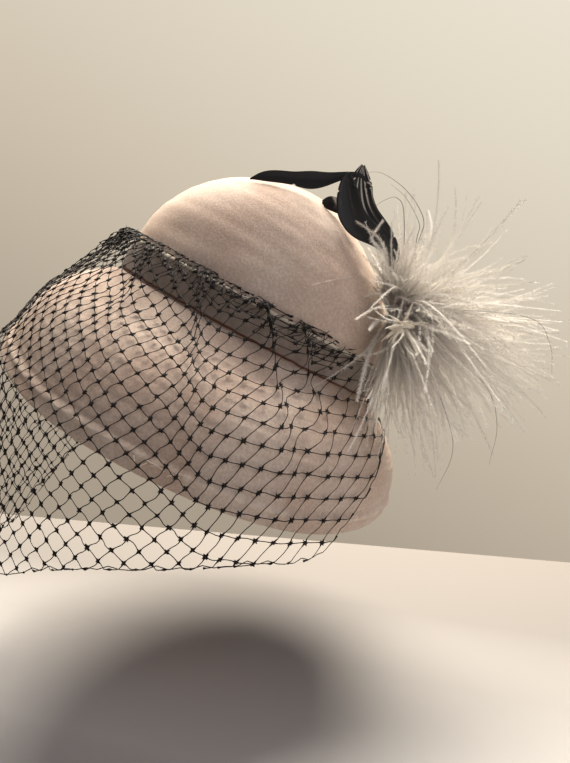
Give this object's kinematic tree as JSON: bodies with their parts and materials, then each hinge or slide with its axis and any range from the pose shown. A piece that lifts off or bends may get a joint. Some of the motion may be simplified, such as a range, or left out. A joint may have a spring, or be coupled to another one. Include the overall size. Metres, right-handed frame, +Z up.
{
  "type": "bell-brimmed felt hat with net veil",
  "caption": "Deep bell-brimmed felt hat worn tipped back, with a ribbon band, a dotted net veil hanging below its front brim, an ostrich feather pouf and slim black feathers at its left back.",
  "frame": {"origin": "middle of the head opening, level with the brim's break, where the hat sits on a head", "axes": "+Z up as the hat is worn, -Y towards its front and +X towards its left side; the hat's own axis is tipped back 28.5 degrees about X"},
  "size_m": [0.3174, 0.3957, 0.274],
  "materials": {
    "felt": "soft blocked wool felt, slightly fibrous, pale rosy beige",
    "ribbon": "flat taupe ribbon with a faint crosswise rib",
    "net": "stiffened black millinery net with knotted dots",
    "ostrich": "downy light grey ostrich plume with ivory tips",
    "black_feather": "glossy black feather, pale stripes on the one behind"
  },
  "bodies": {
    "root": {"felt_body": "felt", "hatband": "ribbon", "net_veil": "net", "ostrich_pouf": "ostrich", "leaf_feather": "black_feather", "upright_feather": "black_feather", "striped_feather": "black_feather", "small_feather": "black_feather"}
  },
  "joints": []
}
